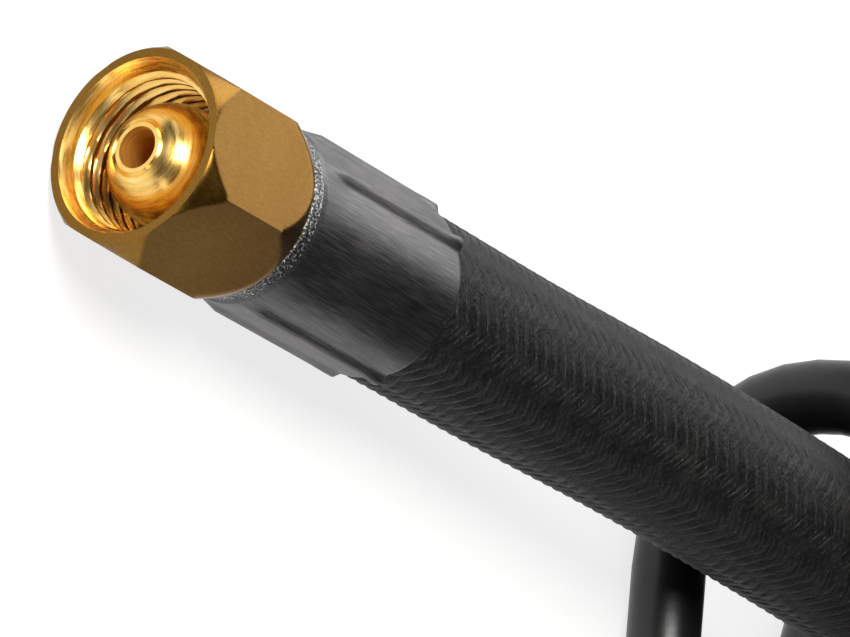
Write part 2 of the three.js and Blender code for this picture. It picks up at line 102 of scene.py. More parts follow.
def make_camera():
    """Works out the world's axes as the camera sees them, then places the camera so that NUT is as seen."""
    level = math.cos(FLOOR_TURN) * CROSS_SEEN + math.sin(FLOOR_TURN) * LEFT_SEEN
    up = math.sin(FLOOR_TILT) * AXIS_SEEN + math.cos(FLOOR_TILT) * level
    right = (AXIS_SEEN - AXIS_SEEN.dot(up) * up).normalized()
    side = up.cross(right)
    eye = NUT - Vector((NUT_SEEN.dot(right), NUT_SEEN.dot(side), NUT_SEEN.dot(up)))
    image_right = Vector((right[0], side[0], up[0]))
    image_down = Vector((right[1], side[1], up[1]))
    forward = Vector((right[2], side[2], up[2]))
    data = bpy.data.cameras.new("camera")
    data.sensor_width = SENSOR_WIDTH
    data.lens = FOCAL_TO_WIDTH * SENSOR_WIDTH
    data.clip_start = CLIP_START
    camera = bpy.data.objects.new("camera", data)
    bpy.context.scene.collection.objects.link(camera)
    basis = Matrix((image_right, -image_down, -forward)).transposed().to_4x4()
    camera.matrix_world = Matrix.Translation(eye * MM) @ basis
    bpy.context.scene.camera = camera


# ---- mesh helpers -------------------------------------------------------------------------------------
def mesh_object(name, verts, faces, uvs=None, smooth=True, place=None):
    """Verts are in millimetres; uvs hold one pair for each corner of each face."""
    mesh = bpy.data.meshes.new(name)
    points = np.asarray(verts, float)
    mesh.from_pydata((points * MM).tolist(), [], [list(face) for face in faces])
    if uvs is not None:
        layer = mesh.uv_layers.new(name="UVMap")
        layer.data.foreach_set("uv", np.asarray(uvs, float).ravel())
    mesh.polygons.foreach_set("use_smooth", [smooth] * len(mesh.polygons))
    if place is not None:
        shift = place.copy()
        shift.translation = shift.translation * MM
        mesh.transform(shift)
    mesh.update()
    obj = bpy.data.objects.new(name, mesh)
    bpy.context.scene.collection.objects.link(obj)
    return obj


def grid(rows, columns, close_rows=False):
    """Quads over a grid of vertices whose columns close round."""
    count = rows if close_rows else rows - 1
    i, j = np.meshgrid(np.arange(count), np.arange(columns), indexing="ij")
    a = i * columns + j
    b = i * columns + (j + 1) % columns
    down = ((i + 1) % rows) * columns
    return np.stack([a, b, down + (j + 1) % columns, down + j], -1).reshape(-1, 4)


def rounded(profile, radius, steps=3):
    """The profile with every corner turned into a small curve."""
    points = [np.array(p, float) for p in profile]
    out = [points[0]]
    for before, corner, after in zip(points, points[1:], points[2:]):
        to_a, to_b = before - corner, after - corner
        la, lb = np.linalg.norm(to_a), np.linalg.norm(to_b)
        reach = min(radius, 0.45 * la, 0.45 * lb)
        start, end = corner + to_a / la * reach, corner + to_b / lb * reach
        for k in range(steps + 1):
            t = k / steps
            out.append((1 - t) ** 2 * start + 2 * t * (1 - t) * corner + t ** 2 * end)
    return out + [points[-1]]


def lathe(name, profile, place, segments, shape=None, closed=False, edge=0.0):
    """A turned piece about its own X axis, from (x, radius) points; shape gives another radius."""
    profile = rounded(profile, edge) if edge else [np.array(p, float) for p in profile]
    angle = 2 * math.pi * np.arange(segments) / segments
    x = np.array([p[0] for p in profile])[:, None] + 0 * angle[None]
    r = np.array([p[1] for p in profile])[:, None] + 0 * angle[None]
    if shape:
        r = shape(x, angle[None] + 0 * x, r)
    verts = np.stack([x, r * np.cos(angle), r * np.sin(angle)], -1).reshape(-1, 3)
    faces = grid(len(profile), segments, closed).tolist()
    if not closed:
        faces += [list(range(segments)), [(len(profile) - 1) * segments + k for k in range(segments)][::-1]]
    obj = mesh_object(name, verts, faces, place=place)
    tidy(obj)
    return obj


def tidy(obj, merge=1e-7):
    """Merges doubled vertices, turns all faces outwards and shades the piece."""
    work = bmesh.new()
    work.from_mesh(obj.data)
    bmesh.ops.remove_doubles(work, verts=work.verts, dist=merge)
    bmesh.ops.recalc_face_normals(work, faces=work.faces)
    work.to_mesh(obj.data)
    work.free()
    sharpen(obj)


def sharpen(obj, degrees=38):
    """Smooth shading that breaks at real edges."""
    mesh = obj.data
    work = bmesh.new()
    work.from_mesh(mesh)
    for edge in work.edges:
        edge.smooth = len(edge.link_faces) == 2 and edge.calc_face_angle(0) < math.radians(degrees)
    for face in work.faces:
        face.smooth = True
    work.to_mesh(mesh)
    work.free()


def cut(profile, parts):
    """The profile with each stretch cut into equal ones, parts(x, r, next x) of them."""
    out = []
    for (xa, ra), (xb, rb) in zip(profile, profile[1:]):
        count = parts(xa, ra, xb)
        out += [(xa + (xb - xa) * k / count, ra + (rb - ra) * k / count) for k in range(count)]
    return out


def band(x, r, start, end, run, beyond):
    """1 outside the given radius between two places along a turned piece, running out at both."""
    return np.clip((x - start) / run, 0, 1) * np.clip((end - x) / run, 0, 1) * (r > beyond)


# ---- frames of the object's groups, each with its X axis along the group ------------------------------
ALONG_FITTING = Matrix.Translation(NUT) @ Matrix.Rotation(-FITTING_PITCH, 4, "Y")
ALONG_CUP = Matrix.Translation(HEAD) @ Matrix.Rotation(HEAD_LEAN + math.pi / 2, 4, "Z")
ALONG_PLUG = Matrix.Translation(PLUG)


# ---- cords --------------------------------------------------------------------------------------------
def catmull(points, per=24):
    """Centripetal Catmull-Rom, the curve that the CAD tubes follow."""
    pts = [np.array(p, float) for p in points]
    pts = [2 * pts[0] - pts[1]] + pts + [2 * pts[-1] - pts[-2]]
    out = []
    for i in range(1, len(pts) - 2):
        p0, p1, p2, p3 = pts[i - 1:i + 3]
        d1, d2, d3 = (max(np.linalg.norm(b - a) ** 0.5, 1e-6) for a, b in ((p0, p1), (p1, p2), (p2, p3)))
        m1 = ((p1 - p0) / d1 - (p2 - p0) / (d1 + d2) + (p2 - p1) / d2) * d2
        m2 = ((p2 - p1) / d2 - (p3 - p1) / (d2 + d3) + (p3 - p2) / d3) * d2
        for k in range(per):
            t = k / per
            out.append((2 * t ** 3 - 3 * t ** 2 + 1) * p1 + (t ** 3 - 2 * t ** 2 + t) * m1
                       + (3 * t ** 2 - 2 * t ** 3) * p2 + (t ** 3 - t ** 2) * m2)
    return out + [pts[-2]]


def arc(centre, r0, r1, a0, a1, z0, z1, step=15):
    """Points along a turn whose radius and height change smoothly, angles in degrees."""
    count = max(4, int(abs(a1 - a0) / step))
    points = []
    for k in range(count):
        t = k / count
        ease = t * t * (3 - 2 * t)
        angle = math.radians(a0 + (a1 - a0) * t)
        radius = r0 + (r1 - r0) * t
        points.append((centre[0] + radius * math.cos(angle), centre[1] + radius * math.sin(angle),
                       z0 + (z1 - z0) * ease))
    return points


def hose_route():
    """From the fitting back to the handle: along the floor, round the coil's two layers, into the boot."""
    (outer, inner), (low, high) = HOSE_TURNS, HOSE_LAYERS
    coil = arc(HOSE_COIL, outer, outer, -90, 90, low, low)
    coil += arc(HOSE_COIL, outer, inner, 90, 810, low, low)
    coil += arc(HOSE_COIL, inner, inner, 810, 900, low, high)
    coil += arc(HOSE_COIL, inner, outer, 900, 1620, high, high)
    coil += arc(HOSE_COIL, outer, outer, 1620, 1890, high, high)
    return HOSE_END + coil + HOSE_OFF_COIL + HOSE_TAIL[::-1]


def cable_route():
    """From the boot to the plug: round the cable coil's layers, over the hose coil, round the hose."""
    outer, inner = CABLE_TURNS
    coil = []
    height, angle = CABLE_LAYER_START, -90
    for layer in range(CABLE_LAYERS):
        a, b = (outer, inner) if layer % 2 == 0 else (inner, outer)
        coil += arc(CABLE_COIL, a, b, angle, angle + 1000, height, height)
        angle += 1000
        if layer < CABLE_LAYERS - 1:
            coil += arc(CABLE_COIL, b, b, angle, angle + 80, height, height + CABLE_LAYER_RISE)
            angle += 80
            height += CABLE_LAYER_RISE
    coil += arc(CABLE_COIL, outer, outer, angle, angle + 60, height, height)
    return CABLE_TAIL + coil + CABLE_LEAD


def even(points, steps):
    """The polyline cut into the given steps, a list of (end length, step) in millimetres."""
    line = np.array(points, float)
    length = np.r_[0, np.cumsum(np.linalg.norm(np.diff(line, axis=0), axis=1))]
    at, now = [0.0], 0.0
    for end, step in steps:
        end = min(end, length[-1])
        count = max(1, round((end - now) / step))
        at += list(now + (end - now) * np.arange(1, count + 1) / count)
        now = end
    at = np.array(at)
    return np.stack([np.interp(at, length, line[:, i]) for i in range(3)], -1), at


def sweep(name, line, at, sides, radius):
    """A closed round tube along a line. radius(distance, angle) gives the surface."""
    tangent = np.gradient(line, axis=0)
    tangent /= np.linalg.norm(tangent, axis=1)[:, None]
    side = np.zeros_like(line)
    now = np.cross(tangent[0], (0, 0, 1.0))
    for i, t in enumerate(tangent):
        now = now - now.dot(t) * t
        now /= np.linalg.norm(now)
        side[i] = now
    up = np.cross(side, tangent)
    angle = 2 * math.pi * np.arange(sides) / sides
    r = radius(at[:, None] + 0 * angle, angle + 0 * at[:, None])[..., None]
    cosine, sine = np.cos(angle)[None, :, None], np.sin(angle)[None, :, None]
    verts = line[:, None] + r * (side[:, None] * cosine + up[:, None] * sine)
    quads = grid(len(line), sides)
    column = np.arange(sides)
    rows = len(line) - 1
    i, j = np.meshgrid(np.arange(rows), column, indexing="ij")
    u0, u1 = j / sides, (j + 1) / sides
    uv = np.stack([np.stack([u0, at[i]], -1), np.stack([u1, at[i]], -1), np.stack([u1, at[i + 1]], -1),
                   np.stack([u0, at[i + 1]], -1)], 2).reshape(-1, 2)
    faces = quads.tolist() + [column.tolist(), (rows * sides + column).tolist()[::-1]]
    uv = np.vstack([uv, np.zeros((2 * sides, 2))])
    obj = mesh_object(name, verts.reshape(-1, 3), faces, uv)
    obj.data.flip_normals()
    return obj


CARRIERS = 20                           # strands each way round the hose
PICK = 1.63                             # distance between strands along the hose
FINE = 112.0                            # length of hose whose weave is modelled strand by strand
FADE = 12                               # length over which the modelled weave ends
BRAID_DEPTH = 0.46
PLAIN_DEPTH = 0.08                      # how far the plain stretch lies inside the strands' tops
UNDER = 0.45                            # a strand's height where it dips under, as a share
TO_THE_END = 1e6


def braid_height(distance, angle):
    """Two sets of crossing strands, each lying over two and under two of the other."""
    a = distance / PICK + CARRIERS * angle / (2 * math.pi)
    b = distance / PICK - CARRIERS * angle / (2 * math.pi)
    round_a = np.sqrt(np.maximum(0, 1 - (2 * (a - np.floor(a)) - 1) ** 2))
    round_b = np.sqrt(np.maximum(0, 1 - (2 * (b - np.floor(b)) - 1) ** 2))
    wave_a = 0.5 + 0.5 * np.cos(math.pi / 2 * (b - np.floor(a)))
    wave_b = 0.5 - 0.5 * np.cos(math.pi / 2 * (np.floor(b) - a + 1))
    over = 1 - UNDER
    return np.maximum(round_a * (UNDER + over * wave_a), round_b * (UNDER + over * wave_b))


def hose_surface(distance, angle):
    fade = np.clip((FINE - distance) / FADE, 0, 1)
    return HOSE_R - BRAID_DEPTH * (1 - braid_height(distance, angle)) * fade - PLAIN_DEPTH * (1 - fade)


def make_cords():
    hose_line, at = even(catmull(hose_route()), [(FINE, 0.22), (TO_THE_END, 12)])
    hose = sweep("hose", hose_line, at, 112, hose_surface)
    cable_line, cable_at = even(catmull(cable_route()), [(TO_THE_END, 3)])
    cable = sweep("control_cable", cable_line, cable_at, 28, lambda distance, angle: CABLE_R + 0 * angle)
    return hose, hose_line, at[-1], cable, cable_line, cable_at[-1]


# ---- materials ----------------------------------------------------------------------------------------
class Look:
    """A node material with a few short calls for what every surface needs."""

    def __init__(self, name, rough=0.5, metal=0.0, **sockets):
        self.name = name
        self.material = bpy.data.materials.new(name)
        self.material.use_nodes = True
        self.tree = self.material.node_tree
        self.shader = self.tree.nodes["Principled BSDF"]
        self.shader.inputs["Metallic"].default_value = metal
        self.shader.inputs["Roughness"].default_value = rough
        for key, value in sockets.items():
            self.shader.inputs[key.replace("_", " ")].default_value = value
        self.where = self.add("ShaderNodeTexCoord").outputs["Object"]

    def add(self, kind, **settings):
        made = self.tree.nodes.new(kind)
        for key, value in settings.items():
            setattr(made, key, value)
        return made

    def link(self, source, target):
        self.tree.links.new(source, target)

    def math(self, operation, a, b=0.0, c=0.0):
        made = self.add("ShaderNodeMath", operation=operation)
        for socket, value in zip(made.inputs, (a, b, c)):
            if isinstance(value, (int, float)):
                socket.default_value = value
            else:
                self.link(value, socket)
        return made.outputs[0]

    def noise(self, per_metre, detail, stretch=(1, 1, 1)):
        place = self.add("ShaderNodeMapping")
        place.inputs["Scale"].default_value = stretch
        self.link(self.where, place.inputs["Vector"])
        made = self.add("ShaderNodeTexNoise")
        made.inputs["Scale"].default_value = per_metre
        made.inputs["Detail"].default_value = detail
        self.link(place.outputs[0], made.inputs["Vector"])
        return made.outputs[0]

    def ramp(self, value, stops):
        made = self.add("ShaderNodeValToRGB")
        ramp = made.color_ramp
        while len(ramp.elements) < len(stops):
            ramp.elements.new(0.5)
        for element, (position, colour) in zip(ramp.elements, stops):
            element.position = position
            element.color = (*colour, 1)
        self.link(value, made.inputs[0])
        return made.outputs[0]

    def span(self, value, low, high):
        """Spreads the range in which most of a noise's values lie over the given one."""
        made = self.add("ShaderNodeMapRange")
        self.link(value, made.inputs["Value"])
        for key, number in zip(("From Min", "From Max", "To Min", "To Max"), (0.3, 0.7, low, high)):
            made.inputs[key].default_value = number
        return made.outputs[0]

    def colour(self, output):
        self.link(output, self.shader.inputs["Base Color"])

    def rough(self, output):
        self.link(output, self.shader.inputs["Roughness"])

    def bump(self, output, millimetres):
        made = self.add("ShaderNodeBump")
        made.inputs["Strength"].default_value = 1.0
        made.inputs["Distance"].default_value = millimetres * MM
        self.link(output, made.inputs["Height"])
        self.link(made.outputs[0], self.shader.inputs["Normal"])


def metal_look(name, dark, main, light, rough=(0.24, 0.42), grain=(1, 12, 12), scale=420, depth=0.012,
               patchy=0.55):
    """Machined or brushed metal: tone in patches, and fine lines along one direction."""
    look = Look(name, metal=1.0)
    patches = look.noise(90, 4)
    lines = look.noise(scale, 5, grain)
    both = look.math("MULTIPLY_ADD", lines, 1 - patchy, look.math("MULTIPLY", patches, patchy))
    look.colour(look.ramp(both, [(0.32, dark), (0.5, main), (0.68, light)]))
    look.rough(look.span(both, *rough))
    look.bump(lines, depth)
    return look


def plain_look(name, dark, light, rough=(0.4, 0.6), grain=1500, depth=0.03, patch=60):
    """Moulded or coated surface: slight change of tone, fine grain and rubbed patches."""
    look = Look(name)
    patches = look.noise(patch, 4)
    fine = look.noise(grain, 3)
    look.colour(look.ramp(patches, [(0.35, dark), (0.65, light)]))
    both = look.math("MULTIPLY_ADD", fine, 0.35, look.math("MULTIPLY", patches, 0.65))
    look.rough(look.span(both, *rough))
    look.bump(fine, depth)
    return look


def braid_look():
    """Woven yarn from the hose's own coordinates: strands told apart by tone, each of three yarns; the tone
    also holds painted shade, darker in the grooves between yarns.
    """
    look = Look("hose_braid", Specular_IOR_Level=0.24, Sheen_Weight=0.1, Sheen_Roughness=0.32)
    split = look.add("ShaderNodeSeparateXYZ")
    look.link(look.add("ShaderNodeTexCoord").outputs["UV"], split.inputs[0])
    around = look.math("MULTIPLY", split.outputs[0], CARRIERS)
    slack = look.math("MULTIPLY_ADD", look.noise(420, 3), 1.1, split.outputs[1])
    along = look.math("MULTIPLY", slack, 1 / PICK)
    a, b = look.math("ADD", along, around), look.math("SUBTRACT", along, around)
    cell_a, cell_b = look.math("FLOOR", a), look.math("FLOOR", b)

    def ridges(across, count):
        return look.math("ABSOLUTE", look.math("SINE", look.math("MULTIPLY", across, count * math.pi)))

    def rise(across, turns):
        wave = look.math("COSINE", look.math("MULTIPLY", turns, math.pi / 2))
        return look.math("MULTIPLY", ridges(across, 1), look.math("MULTIPLY_ADD", wave, 0.27, 0.73))

    rise_a = rise(a, look.math("SUBTRACT", b, cell_a))
    rise_b = rise(b, look.math("SUBTRACT", look.math("SUBTRACT", cell_b, a), 1))
    a_on_top = look.math("GREATER_THAN", rise_a, rise_b)
    yarn_a, yarn_b = ridges(a, 3), ridges(b, 3)
    yarn_relief_and_groove_shade = look.math("MULTIPLY_ADD", a_on_top, look.math("SUBTRACT", yarn_a, yarn_b), yarn_b)
    weave = look.math("MAXIMUM", rise_a, rise_b)

    strand = look.add("ShaderNodeTexWhiteNoise", noise_dimensions="2D")
    cell = look.add("ShaderNodeCombineXYZ")
    look.link(cell_a, cell.inputs[0])
    look.link(cell_b, cell.inputs[1])
    look.link(cell.outputs[0], strand.inputs["Vector"])
    fibres = look.noise(2600, 4, (1, 1, 0.25))
    worn = look.noise(140, 4)
    tone = look.math("MULTIPLY_ADD", strand.outputs[0], 0.2, look.math("MULTIPLY", fibres, 0.4))
    tone = look.math("MULTIPLY_ADD", worn, 0.2, tone)
    # painted shade: the yarn ridges make the tone darker in the grooves between yarns and lighter on their
    # crowns
    tone = look.math("MULTIPLY_ADD", yarn_relief_and_groove_shade, 0.2, tone)
    look.colour(look.ramp(tone, [(0.3, (0.0018, 0.0018, 0.002)), (0.55, (0.0055, 0.0053, 0.0053)),
                                 (0.8, (0.019, 0.0175, 0.0165))]))
    look.rough(look.span(tone, 0.44, 0.7))
    relief = look.math("MULTIPLY_ADD", weave, 0.55, look.math("MULTIPLY", fibres, 0.5))
    look.bump(look.math("MULTIPLY_ADD", yarn_relief_and_groove_shade, 0.2, relief), 0.22)
    return look


def make_looks():
    """Every material, by name; all but painted_shade_brass, drilled_brass and crimp_grain are a slot's own."""
    turned = {"grain": (16, 1.2, 1.2), "scale": 260}
    looks = [
        metal_look("brass", (0.66, 0.37, 0.085), (0.86, 0.55, 0.15), (0.95, 0.74, 0.33), (0.2, 0.36),
                   depth=0.02, patchy=0.25, **turned),
        # painted shade: a copy of brass darkened to a small share of its colour, so the nut's flats look
        # shaded
        metal_look("painted_shade_brass", (0.15, 0.072, 0.011), (0.2, 0.1, 0.0165), (0.255, 0.135, 0.027),
                   (0.27, 0.36), (1, 3, 3), 1500, 0.005, 0.5),
        metal_look("drilled_brass", (0.6, 0.3, 0.05), (0.82, 0.46, 0.1), (0.92, 0.62, 0.2), (0.62, 0.78),
                   depth=0.05, **turned),
        metal_look("copper", (0.45, 0.2, 0.11), (0.7, 0.38, 0.24), (0.82, 0.52, 0.36)),
        metal_look("crimped_steel", (0.062, 0.063, 0.068), (0.11, 0.108, 0.112), (0.19, 0.18, 0.17),
                   (0.38, 0.52), (1, 22, 22), 300, 0.014, 0.3),
        metal_look("crimp_grain", (0.03, 0.03, 0.032), (0.11, 0.11, 0.115), (0.85, 0.85, 0.86),
                   (0.14, 0.5), (1, 1, 1), 4200, 0.2, 0.2),
        metal_look("bright_steel", (0.35, 0.36, 0.37), (0.55, 0.56, 0.57), (0.7, 0.7, 0.69)),
        metal_look("nickel", (0.45, 0.44, 0.42), (0.62, 0.61, 0.58), (0.75, 0.73, 0.7), (0.16, 0.3)),
        metal_look("tungsten", (0.25, 0.26, 0.28), (0.42, 0.43, 0.45), (0.6, 0.6, 0.6)),
        plain_look("handle_plastic", (0.013, 0.014, 0.015), (0.03, 0.031, 0.032), (0.42, 0.6), 1300, 0.07),
        plain_look("cap_plastic", (0.012, 0.012, 0.013), (0.028, 0.027, 0.026), (0.2, 0.38), 900, 0.01),
        plain_look("ceramic", (0.33, 0.135, 0.105), (0.45, 0.2, 0.16), (0.36, 0.6), 1800, 0.03, 45),
        plain_look("white_insulator", (0.72, 0.7, 0.64), (0.86, 0.85, 0.8), (0.35, 0.55)),
        plain_look("orange_rubber", (0.42, 0.1, 0.02), (0.6, 0.18, 0.05), (0.4, 0.55)),
        plain_look("rubber", (0.01, 0.01, 0.01), (0.026, 0.025, 0.024), (0.46, 0.66), 1100, 0.05),
        plain_look("cable_jacket", (0.003, 0.003, 0.0035), (0.009, 0.009, 0.0095), (0.3, 0.42),
                   1600, 0.012, 35),
        plain_look("grey_plastic", (0.15, 0.16, 0.17), (0.24, 0.25, 0.26)),
        plain_look("red_plastic", (0.34, 0.014, 0.01), (0.55, 0.04, 0.028), (0.26, 0.42), 1200, 0.02),
        plain_look("tie_webbing", (0.03, 0.03, 0.032), (0.075, 0.075, 0.08), (0.7, 0.9), 2200, 0.2),
        braid_look(),
    ]
    return {look.name: look for look in looks}


def finish(obj, body, slot, *nodes, look=None):
    obj.data.materials.clear()
    obj.data.materials.append(LOOKS[look or slot].material)
    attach(obj, body)
    if nodes:
        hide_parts(*nodes)
    return obj


def paint(obj, chosen):
    """Gives a fitting piece's second material to the faces that chosen(x, r) picks."""
    inverse = ALONG_FITTING.inverted()
    for face in obj.data.polygons:
        place = inverse @ (face.center / MM)
        if chosen(place.x, math.hypot(place.y, place.z)):
            face.material_index = 1


# ---- fitting at the hose's end ------------------------------------------------------------------------
THREAD_PITCH = 1.5
THREAD_START, THREAD_END = 1.8, 10.0
MINOR_R, MAJOR_R = 7.42, 7.95
FRONT_CHAMFER, REAR_CHAMFER = 2.9, 4.2  # length of the nut's turned chamfers
FRONT_R, REAR_R = 9.66, 9.4             # their radii at the nut's ends
NUT_HOLE_R = 5.95                       # the hole behind the thread
MOUTH_R = 8.75                          # plain brass inside this radius; outside it the nut's brass is darkened, painted shade
BALL_MIDDLE, BALL_R = 5.9, 6.0
NIPPLE_FACE, NIPPLE_END, BORE_R = 0.6, 39.0, 2.08
RIDGES = [math.radians(a) for a in (55, 90, 124, -57, -93, -124)]
RIDGE_HEIGHT, RIDGE_WIDTH, PRESSED_DEPTH = 0.6, 0.085, 0.18
FERRULE_R, FERRULE_INSIDE_R, FERRULE_LIMIT_R = 9.12, 8.58, 9.75
COLLAR_LENGTH = 1.5                     # the ferrule's rough front collar


def hexagon_radius(angle):
    """Distance from the axis to the hexagon, with the angle measured from the middle of a flat."""
    sector = (angle + math.pi / 6) % (math.pi / 3) - math.pi / 6
    return NUT_FLATS / 2 / np.cos(sector)


def union_nut():
    """Hexagon with turned chamfers outside, counterbore and a real helical thread inside."""
    segments, corner = 180, NUT_FLATS / math.sqrt(3)
    angle = 2 * math.pi * np.arange(segments) / segments
    hexagon = hexagon_radius(angle - math.pi / 6)           # a corner points along Y
    rear = NUT_LENGTH - REAR_CHAMFER

    outside = [(0.0, FRONT_R - 0.1), (0.12, FRONT_R)]
    outside += [(x, FRONT_R + (corner - FRONT_R) * (x / FRONT_CHAMFER) ** 1.1)
                for x in np.linspace(0.25, FRONT_CHAMFER, 10)]
    outside += [(x, corner) for x in np.linspace(FRONT_CHAMFER + 0.4, rear, 8)]
    outside += [(x, corner - (corner - REAR_R) * ((x - rear) / REAR_CHAMFER) ** 1.15)
                for x in np.linspace(rear + 0.2, NUT_LENGTH, 14)]
    inside = [(NUT_LENGTH, NUT_HOLE_R), (11.1, NUT_HOLE_R), (10.9, 6.2), (10.6, 7.6)]
    inside += [(x, None) for x in np.linspace(THREAD_END + 0.4, THREAD_START - 0.2, 90)]
    inside += [(THREAD_START - 0.4, 8.0), (1.2, 8.03), (0.08, 8.66), (0.0, 8.7)]

    rows = []
    for x, cap in outside:
        rows.append((np.full(segments, x), np.minimum(hexagon, cap)))
    for x, r in inside:
        if r is None:
            phase = (x / THREAD_PITCH - angle / (2 * math.pi)) % 1
            tooth = np.clip(2.2 * (1 - np.abs(2 * phase - 1)) - 0.5, 0, 1)
            ease = np.clip(min(x - THREAD_START + 0.4, THREAD_END + 0.6 - x) / 0.8, 0, 1)
            rows.append((np.full(segments, x), MAJOR_R - (MAJOR_R - MINOR_R) * tooth * ease))
        else:
            rows.append((np.full(segments, x), np.full(segments, r)))
    x = np.array([row[0] for row in rows])
    r = np.array([row[1] for row in rows])
    verts = np.stack([x, r * np.cos(angle), r * np.sin(angle)], -1).reshape(-1, 3)
    faces = grid(len(rows), segments, True).tolist()
    nut = mesh_object("union_nut_turned", verts, faces, place=ALONG_FITTING)
    tidy(nut)
    sharpen(nut, 24)
    # the nut's outside wears the darkened brass as painted shade; plain brass goes only inside MOUTH_R
    finish(nut, "union_nut", "brass", "union_nut", look="painted_shade_brass")
    nut.data.materials.append(LOOKS["brass"].material)
    paint(nut, lambda x, r: r < MOUTH_R)
    return nut


def ball_nipple():
    """Ball nose, the shoulder that the nut pulls on, and the shank under the ferrule, bored through."""
    ball = [(NIPPLE_FACE, BORE_R), (NIPPLE_FACE, 2.5), (0.9, 2.75)]
    ball += [(BALL_MIDDLE - BALL_R * math.cos(a), BALL_R * math.sin(a)) for a in np.linspace(0.52, 1.78, 30)]
    shoulder = [(8.0, 6.2), (9.6, 7.0), (10.7, 7.0), (10.8, 5.5)]
    shank = [(15.9, 5.5), (15.9, 7.5), (17.0, 7.5), (17.2, 4.0), (NIPPLE_END, 3.4), (NIPPLE_END, BORE_R)]
    nipple = lathe("ball_nipple_turned", ball + shoulder + shank, ALONG_FITTING, 120, closed=True)
    finish(nipple, "root", "brass", "ball_nipple")
    nipple.data.materials.append(LOOKS["drilled_brass"].material)
    paint(nipple, lambda x, r: r < 2.2 and x > 0.7)
    return nipple


def angle_from_camera(angle):
    """Angle about the fitting's axis, measured from the side that faces the camera."""
    return (math.pi / 2 - angle + math.radians(30) + math.pi) % (2 * math.pi) - math.pi


def ferrule_shape(x, angle, r):
    """Crimped panels between raised ridges that run out at the collar and flare at the hose end."""
    outside = r > FERRULE_INSIDE_R + 0.12
    along = np.clip((x - FERRULE[0] - 2.4) / 3.0, 0, 1) * outside
    phi = angle_from_camera(angle)
    raised = np.zeros_like(r)
    for ridge in RIDGES:
        off = (phi - ridge + math.pi) % (2 * math.pi) - math.pi
        raised = np.maximum(raised, np.exp(-(off / RIDGE_WIDTH) ** 2))
        raised = raised - 0.42 * np.exp(-((np.abs(off) - 0.22) / 0.09) ** 2)
    flat = PRESSED_DEPTH * np.cos(3 * (phi + 0.1)) ** 2
    flare = 0.28 * np.clip((x - FERRULE[1] + 3.4) / 3.0, 0, 1) ** 2 * np.maximum(raised, 0)
    return np.minimum(r + along * (RIDGE_HEIGHT * raised - flat) + flare * outside, FERRULE_LIMIT_R)


def crimp_ferrule():
    start, end = FERRULE
    outside = [(start, 7.9), (start + 0.1, 8.55)] + [(start + 0.1 + t, 8.95) for t in (0.3, 0.7, 1.2, 1.5)]
    outside += [(x, FERRULE_R) for x in np.linspace(start + 1.9, end - 0.2, 70)]
    inside = [(end, 9.05), (end, 8.62), (end - 1, FERRULE_INSIDE_R), (start + 2, FERRULE_INSIDE_R),
              (start + 1.2, 7.9)]
    ferrule = lathe("crimp_ferrule_pressed", outside + inside, ALONG_FITTING, 240, ferrule_shape, closed=True)
    finish(ferrule, "root", "crimped_steel", "crimp_ferrule")
    ferrule.data.materials.append(LOOKS["crimp_grain"].material)
    paint(ferrule, lambda x, r: x < start + COLLAR_LENGTH)
    return ferrule


# ---- torch --------------------------------------------------------------------------------------------
def soften(name, node, body, slot, width):
    """A finished copy of a CAD piece, with its edges rounded."""
    source = frame["nodes"][node]
    piece = bpy.data.objects.new(name, source.data.copy())
    bpy.context.scene.collection.objects.link(piece)
    work = bmesh.new()
    work.from_mesh(piece.data)
    bmesh.ops.remove_doubles(work, verts=work.verts, dist=1e-6)
    bmesh.ops.dissolve_limit(work, angle_limit=math.radians(0.6), verts=work.verts, edges=work.edges)
    work.to_mesh(piece.data)
    work.free()
    bevel = piece.modifiers.new("bevel", "BEVEL")
    bevel.width = width * MM
    bevel.segments = 3
    bevel.limit_method = "ANGLE"
    bevel.angle_limit = math.radians(32)
    bevel.use_clamp_overlap = True
    apply_modifiers(piece)
    sharpen(piece, 42)
    return finish(piece, body, slot, node)


def apply_modifiers(piece):
    graph = bpy.context.evaluated_depsgraph_get()
    made = bpy.data.meshes.new_from_object(piece.evaluated_get(graph))
    piece.modifiers.clear()
    piece.data = made


KNURL_START, KNURL_END = 18.8, 28.8     # on the back cap, measured from HEAD
RIBS_START, RIBS_END = 18.3, 25.0       # on the gas cup, measured from HEAD
TUNGSTEN_R = 1.2


def back_cap():
    profile = [(6, 2.7), (6, 4.4), (17.4, 4.4), (17.4, 8.5), (18.4, 9.0), (29.2, 9.0), (33.4, 7.6),
               (60, 7.15), (107.6, 6.6), (113.6, 5.4), (115.6, 3.0), (115.7, 0.4)]

    def knurl(x, angle, r):
        groove = np.clip(np.cos(24 * angle) * 1.6, 0, 1)
        return r - 0.42 * band(x, r, KNURL_START, KNURL_END, 0.8, 8) * groove

    dense = cut(profile, lambda x, r, after: 12 if x > 17.9 and after < 34 else 2) + [profile[-1]]
    place = ALONG_CUP @ Matrix.Rotation(math.pi, 4, "Z")
    cap = lathe("back_cap_moulded", dense, place, 192, knurl, edge=0.2)
    return finish(cap, "back_cap", "cap_plastic", "back_cap")


